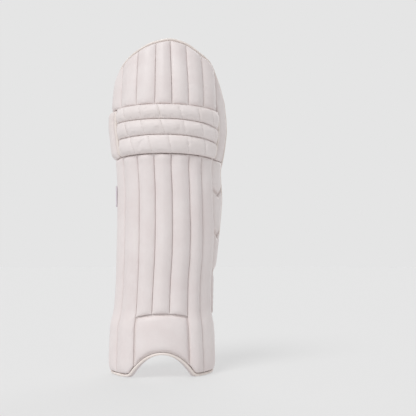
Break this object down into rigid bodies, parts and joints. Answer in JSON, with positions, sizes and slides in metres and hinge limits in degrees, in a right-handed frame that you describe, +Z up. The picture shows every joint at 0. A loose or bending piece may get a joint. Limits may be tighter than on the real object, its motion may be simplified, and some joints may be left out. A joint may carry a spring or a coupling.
{
  "type": "cricket batting pad",
  "caption": "Padded leg guard with a ribbed shin, knee rolls, top hat, side wing and fastened straps, standing on its foot lobes.",
  "frame": {"origin": "under the middle of the pad, on the surface that its two foot lobes stand on", "axes": "+Z up along the shin, -Y out of the ribbed front, +X towards the side wing"},
  "size_m": [0.2554, 0.1432, 0.6892],
  "materials": {
    "leather_front": "satin",
    "leather_rolls": "satin",
    "leather_piping": "satin",
    "smooth_lining": "matte",
    "brushed_lining": "matte",
    "elastic_webbing": "matte",
    "hook_tape": "matte"
  },
  "bodies": {
    "root": {"shin_rib_1": "leather_front", "shin_rib_2": "leather_front", "shin_rib_3": "leather_front", "shin_rib_4": "leather_front", "shin_rib_5": "leather_front", "shin_rib_6": "leather_front", "shin_rib_7": "leather_front", "instep_panel": "leather_front", "top_rib_1": "leather_front", "top_rib_2": "leather_front", "top_rib_3": "leather_front", "top_rib_4": "leather_front", "top_rib_5": "leather_front", "top_rib_6": "leather_front", "top_rib_7": "leather_front", "outer_side_panel": "leather_front", "knee_roll_lower": "leather_rolls", "knee_roll_middle": "leather_rolls", "knee_roll_upper": "leather_rolls", "knee_flap": "leather_rolls", "wing_segment_1": "leather_rolls", "wing_segment_2": "leather_rolls", "wing_segment_3": "leather_rolls", "wing_segment_4": "leather_rolls", "edge_piping": "leather_piping", "knee_roll_end_piping": "leather_piping", "knee_flap_piping": "leather_piping", "carrier_shell": "smooth_lining", "instep_lining": "smooth_lining", "lobe_lining_inner": "smooth_lining", "lobe_lining_outer": "smooth_lining", "hem_band": "smooth_lining", "top_back_panel": "smooth_lining", "top_lining_inner": "smooth_lining", "top_lining_outer": "smooth_lining", "ankle_landing": "smooth_lining", "knee_strap_end": "smooth_lining", "bolster_inner": "brushed_lining", "bolster_centre": "brushed_lining", "bolster_outer": "brushed_lining", "head_band": "brushed_lining", "knee_pad": "brushed_lining", "knee_lining_inner": "brushed_lining", "knee_lining_outer": "brushed_lining", "calf_strap": "elastic_webbing", "ankle_strap": "elastic_webbing", "knee_strap": "elastic_webbing", "calf_tab": "hook_tape", "ankle_tab": "hook_tape"}
  },
  "joints": []
}
